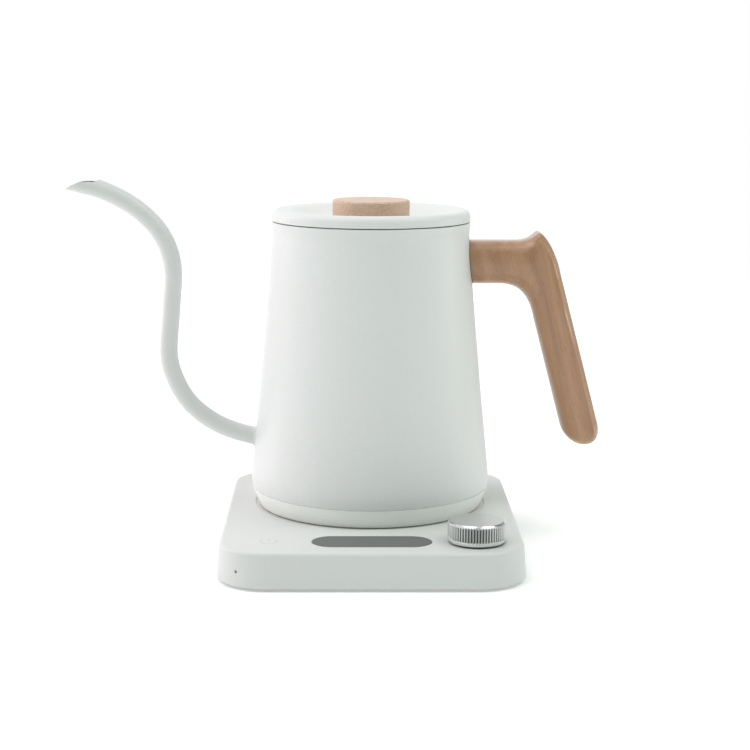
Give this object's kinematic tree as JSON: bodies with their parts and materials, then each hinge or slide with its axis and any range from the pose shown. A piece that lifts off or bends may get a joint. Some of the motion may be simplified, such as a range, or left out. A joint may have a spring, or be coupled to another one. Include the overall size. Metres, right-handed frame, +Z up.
{
  "type": "electric gooseneck kettle",
  "caption": "Cordless electric pour-over kettle with a gooseneck spout, wooden grip and lift-off lid, on a flat heating base with a touch key, display and push-and-turn dial.",
  "frame": {"origin": "on the table under the middle of the whole object's outline, spout and handle included", "axes": "+Z up, +X towards the handle, -X towards the spout, -Y towards the user and the controls"},
  "size_m": [0.2862, 0.1808, 0.1939],
  "materials": {
    "white_coat": "satin white powder coat on steel",
    "white_plastic": "satin white moulded plastic",
    "wood": "oiled beech",
    "steel": "brushed",
    "aluminium": "turned, straight-knurled side and polished chamfer",
    "brass": "plain",
    "dark_plastic": "moulded",
    "display_window": "smoked, glossy",
    "rubber": "matt",
    "silicone": "translucent silicone",
    "circuit_board": "green lacquer"
  },
  "bodies": {
    "base": {"base_top_cover": "white_plastic", "base_bottom_cover": "white_plastic", "rubber_foot_front_left": "rubber", "rubber_foot_front_right": "rubber", "rubber_foot_back_left": "rubber", "rubber_foot_back_right": "rubber", "base_screw_front_left": "steel", "base_screw_front_right": "steel", "base_screw_back_left": "steel", "base_screw_back_right": "steel", "cord_inlet": "dark_plastic", "base_coupler": "dark_plastic", "base_contact_1": "brass", "base_contact_2": "brass", "power_board": "circuit_board", "power_relay": "dark_plastic", "control_board": "circuit_board", "display_window": "display_window", "display_module": "dark_plastic", "touch_sensor": "brass", "encoder_body": "steel", "encoder_nut": "steel"},
    "coupler": {"kettle_coupler": "dark_plastic", "coupler_pin": "brass", "coupler_ring_1": "brass", "coupler_ring_2": "brass"},
    "kettle": {"body_shell": "white_coat", "heater_plate": "steel", "heat_spreader": "aluminium", "heating_element": "steel", "temperature_probe": "steel", "probe_seal": "silicone", "thermal_cutout": "dark_plastic", "foot_ring": "white_plastic", "spout_tube": "white_coat", "handle_grip": "wood", "handle_bracket": "steel", "handle_gasket": "rubber", "handle_screw_1": "steel", "handle_screw_2": "steel", "cover_stud_1": "steel", "foot_ring_screw_1": "steel", "cover_stud_2": "steel", "foot_ring_screw_2": "steel", "cover_stud_3": "steel", "foot_ring_screw_3": "steel"},
    "lid": {"lid_shell": "white_coat", "lid_inner": "white_plastic", "lid_seal": "silicone", "lid_knob": "wood", "knob_insert": "brass", "knob_screw": "steel"},
    "dial_press": {"push_actuator": "dark_plastic"},
    "dial": {"control_dial": "aluminium", "dial_hub": "dark_plastic", "encoder_shaft": "aluminium"}
  },
  "joints": [
    {"name": "kettle_lift", "type": "slide", "parent": "base", "child": "coupler", "axis": [0, 0, 1], "range_m": [0, 0.2]},
    {"name": "kettle_turn", "type": "hinge", "parent": "coupler", "child": "kettle", "pos_m": [0.01955, 0.0191, 0.02], "axis": [0, 0, 1], "continuous": true},
    {"name": "lid_lift", "type": "slide", "parent": "kettle", "child": "lid", "axis": [0, 0, 1], "range_m": [0, 0.12]},
    {"name": "dial_push", "type": "slide", "parent": "base", "child": "dial_press", "axis": [0, 0, -1], "range_m": [0, 0.0006], "stiffness_N_per_m": 2000, "springref_m": -0.0005},
    {"name": "dial_turn", "type": "hinge", "parent": "dial_press", "child": "dial", "pos_m": [0.07205, -0.0663, 0.02], "axis": [0, 0, 1], "continuous": true}
  ]
}
